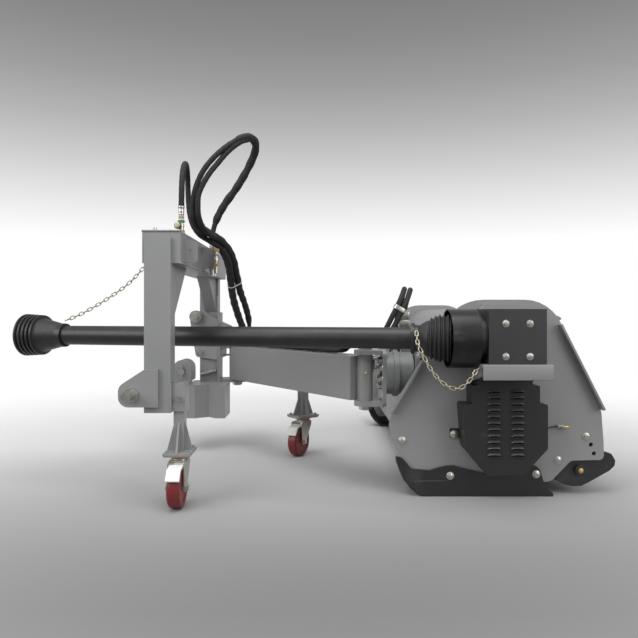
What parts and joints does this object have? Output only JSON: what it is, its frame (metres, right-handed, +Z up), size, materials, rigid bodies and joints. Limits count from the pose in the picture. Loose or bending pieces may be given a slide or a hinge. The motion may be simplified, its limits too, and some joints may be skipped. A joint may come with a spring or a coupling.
{
  "type": "offset flail mower",
  "caption": "Offset flail mower with hitch frame, swinging arm, tilting deck, telescopic drive shaft, belt drive, flail rotor, rear roller and parking castors.",
  "frame": {"origin": "ground level under the rotor axis, at the outer face of the near end plate", "axes": "X along the rows away from the tractor, Y along the deck away from its driven end, Z up"},
  "size_m": [2.064, 1.4713, 1.2182],
  "materials": {
    "frame_paint": "semi-gloss",
    "deck_paint": "semi-gloss",
    "guard_black": "semi-gloss",
    "guard_plastic": "satin",
    "skid_paint": "gloss",
    "hose_rubber": "matt",
    "bell_rubber": "matt",
    "zinc_plate": "satin",
    "flail_steel": "rough",
    "shaft_steel": "satin",
    "castor_tyre": "semi-gloss",
    "pedal_white": "satin",
    "motor_paint": "semi-gloss"
  },
  "bodies": {
    "hitch_frame": {"near_leg": "frame_paint", "far_leg": "frame_paint", "top_beam": "frame_paint", "pivot_carrier": "frame_paint", "far_link_bracket": "frame_paint", "near_hitch_pin": "zinc_plate", "far_hitch_pin": "zinc_plate", "frame_pins": "zinc_plate", "latch_spring": "zinc_plate", "near_stand": "frame_paint", "hose_bracket": "frame_paint", "quick_couplers": "zinc_plate", "frame_hoses": "hose_rubber", "arm_pivot_pins": "zinc_plate", "front_chain": "zinc_plate"},
    "swing_arm": {"main_arm": "frame_paint", "far_stand": "frame_paint", "far_stand_pin": "zinc_plate", "arm_hoses": "hose_rubber"},
    "tie_rod": {"tie_rod": "frame_paint"},
    "hub": {"hub_carrier": "frame_paint", "hub_pins": "zinc_plate", "tilt_motor": "motor_paint", "hub_hoses": "hose_rubber"},
    "deck": {"near_end_plate": "deck_paint", "far_end_plate": "deck_paint", "hood": "deck_paint", "hub_bracket": "deck_paint", "gearbox": "guard_black", "gearbox_guard": "guard_black", "belt_guard": "guard_black", "deck_bolts": "zinc_plate", "near_skid": "skid_paint", "far_skid": "skid_paint", "roller_brackets": "guard_black", "drive_belts": "hose_rubber", "rotor_bearings": "guard_black", "input_collar": "guard_plastic"},
    "door": {"rear_door": "deck_paint"},
    "rotor": {"rotor": "guard_black", "lower_pulley": "shaft_steel"},
    "flails_1": {"flail_row_1": "flail_steel"},
    "flails_2": {"flail_row_2": "flail_steel"},
    "flails_3": {"flail_row_3": "flail_steel"},
    "flails_4": {"flail_row_4": "flail_steel"},
    "upper_pulley": {"upper_pulley": "shaft_steel"},
    "input_shaft": {"input_shaft": "shaft_steel"},
    "roller": {"rear_roller": "shaft_steel"},
    "shaft_guard_rear": {"pto_rear_guard": "guard_plastic", "rear_bell": "bell_rubber", "rear_chain": "zinc_plate"},
    "shaft_rear": {"pto_rear_shaft": "shaft_steel"},
    "shaft_guard_front": {"pto_front_guard": "guard_plastic"},
    "shaft_front": {"pto_front_shaft": "shaft_steel"},
    "near_castor": {"near_castor_fork": "zinc_plate"},
    "near_wheel": {"near_castor_wheel": "castor_tyre"},
    "near_pedal": {"near_castor_pedal": "pedal_white"},
    "far_castor": {"far_castor_fork": "zinc_plate"},
    "far_wheel": {"far_castor_wheel": "castor_tyre"},
    "far_pedal": {"far_castor_pedal": "pedal_white"}
  },
  "joints": [
    {"name": "arm_swing", "type": "hinge", "parent": "hitch_frame", "child": "swing_arm", "pos_m": [-0.983, 0.79, 0.374], "axis": [0, 0, 1], "range_deg": [0, 40]},
    {"name": "tie_rod_swing", "type": "hinge", "parent": "hitch_frame", "child": "tie_rod", "pos_m": [-0.958, 0.907, 0.415], "axis": [0, 0, 1], "range_deg": [0, 40]},
    {"name": "hub_turn", "type": "hinge", "parent": "swing_arm", "child": "hub", "pos_m": [-0.449, 0.094, 0.374], "axis": [0, 0, 1], "range_deg": [-40, 0]},
    {"name": "deck_tilt", "type": "hinge", "parent": "hub", "child": "deck", "pos_m": [-0.33, 0.094, 0.391], "axis": [1, 0, 0], "range_deg": [-30, 30]},
    {"name": "rear_door", "type": "hinge", "parent": "deck", "child": "door", "pos_m": [0.184, 0.625, 0.578], "axis": [0, 1, 0], "range_deg": [-80, 0]},
    {"name": "rotor_spin", "type": "hinge", "parent": "deck", "child": "rotor", "pos_m": [0, 0.625, 0.19], "axis": [0, 1, 0], "continuous": true},
    {"name": "upper_pulley_spin", "type": "hinge", "parent": "deck", "child": "upper_pulley", "pos_m": [-0.017, -0.044, 0.517], "axis": [0, 1, 0], "continuous": true},
    {"name": "input_spin", "type": "hinge", "parent": "deck", "child": "input_shaft", "pos_m": [-0.1, -0.105, 0.517], "axis": [1, 0, 0], "continuous": true},
    {"name": "roller_spin", "type": "hinge", "parent": "deck", "child": "roller", "pos_m": [0.247, 0.625, 0.082], "axis": [0, 1, 0], "continuous": true},
    {"name": "shaft_yaw", "type": "hinge", "parent": "deck", "child": "shaft_guard_rear", "pos_m": [-0.215, -0.105, 0.517], "axis": [0, 0, 1], "range_deg": [0, 19], "deforming": ["rear_chain"]},
    {"name": "rear_shaft_spin", "type": "hinge", "parent": "shaft_guard_rear", "child": "shaft_rear", "pos_m": [-0.215, -0.105, 0.517], "axis": [0.9744, -0.225, 0], "continuous": true},
    {"name": "shaft_slide", "type": "slide", "parent": "shaft_guard_rear", "child": "shaft_guard_front", "axis": [-0.9744, 0.225, 0], "range_m": [0, 0.3], "deforming": ["front_chain"]},
    {"name": "front_shaft_spin", "type": "hinge", "parent": "shaft_guard_front", "child": "shaft_front", "pos_m": [-0.215, -0.105, 0.517], "axis": [0.9744, -0.225, 0], "continuous": true},
    {"name": "flail_row_1_swing", "type": "hinge", "parent": "rotor", "child": "flails_1", "pos_m": [0.05445, 0.625, 0.24445], "axis": [0, 1, 0], "range_deg": [-80, 80]},
    {"name": "flail_row_2_swing", "type": "hinge", "parent": "rotor", "child": "flails_2", "pos_m": [-0.05445, 0.625, 0.24445], "axis": [0, 1, 0], "range_deg": [-80, 80]},
    {"name": "flail_row_3_swing", "type": "hinge", "parent": "rotor", "child": "flails_3", "pos_m": [-0.05445, 0.625, 0.13555], "axis": [0, 1, 0], "range_deg": [-80, 80]},
    {"name": "flail_row_4_swing", "type": "hinge", "parent": "rotor", "child": "flails_4", "pos_m": [0.05445, 0.625, 0.13555], "axis": [0, 1, 0], "range_deg": [-80, 80]},
    {"name": "near_swivel", "type": "hinge", "parent": "hitch_frame", "child": "near_castor", "pos_m": [-1.0415, -0.0835, 0.14], "axis": [0, 0, 1], "continuous": true},
    {"name": "near_wheel_spin", "type": "hinge", "parent": "near_castor", "child": "near_wheel", "pos_m": [-1.0415, -0.1215, 0.0625], "axis": [1, 0, 0], "continuous": true},
    {"name": "near_brake", "type": "hinge", "parent": "near_castor", "child": "near_pedal", "pos_m": [-1.0415, -0.1305, 0.13], "axis": [1, 0, 0], "range_deg": [-12, 0]},
    {"name": "far_swivel", "type": "hinge", "parent": "swing_arm", "child": "far_castor", "pos_m": [-0.675, 0.579, 0.14], "axis": [0, 0, 1], "continuous": true},
    {"name": "far_wheel_spin", "type": "hinge", "parent": "far_castor", "child": "far_wheel", "pos_m": [-0.69225, 0.54514, 0.0625], "axis": [0.891, -0.454, 0], "continuous": true},
    {"name": "far_brake", "type": "hinge", "parent": "far_castor", "child": "far_pedal", "pos_m": [-0.69634, 0.53712, 0.13], "axis": [0.891, -0.454, 0], "range_deg": [-12, 0]}
  ],
  "couplings": [
    {"joint": "tie_rod_swing", "follows": "arm_swing", "ratio": 1},
    {"joint": "hub_turn", "follows": "arm_swing", "ratio": -1},
    {"joint": "shaft_yaw", "follows": "arm_swing", "ratio": 0.456},
    {"joint": "shaft_slide", "follows": "arm_swing", "m_per_rad": 0.417},
    {"joint": "upper_pulley_spin", "follows": "rotor_spin", "ratio": 0.85714},
    {"joint": "input_spin", "follows": "rotor_spin", "ratio": 0.85714},
    {"joint": "rear_shaft_spin", "follows": "rotor_spin", "ratio": 0.85714},
    {"joint": "front_shaft_spin", "follows": "rotor_spin", "ratio": 0.85714}
  ]
}
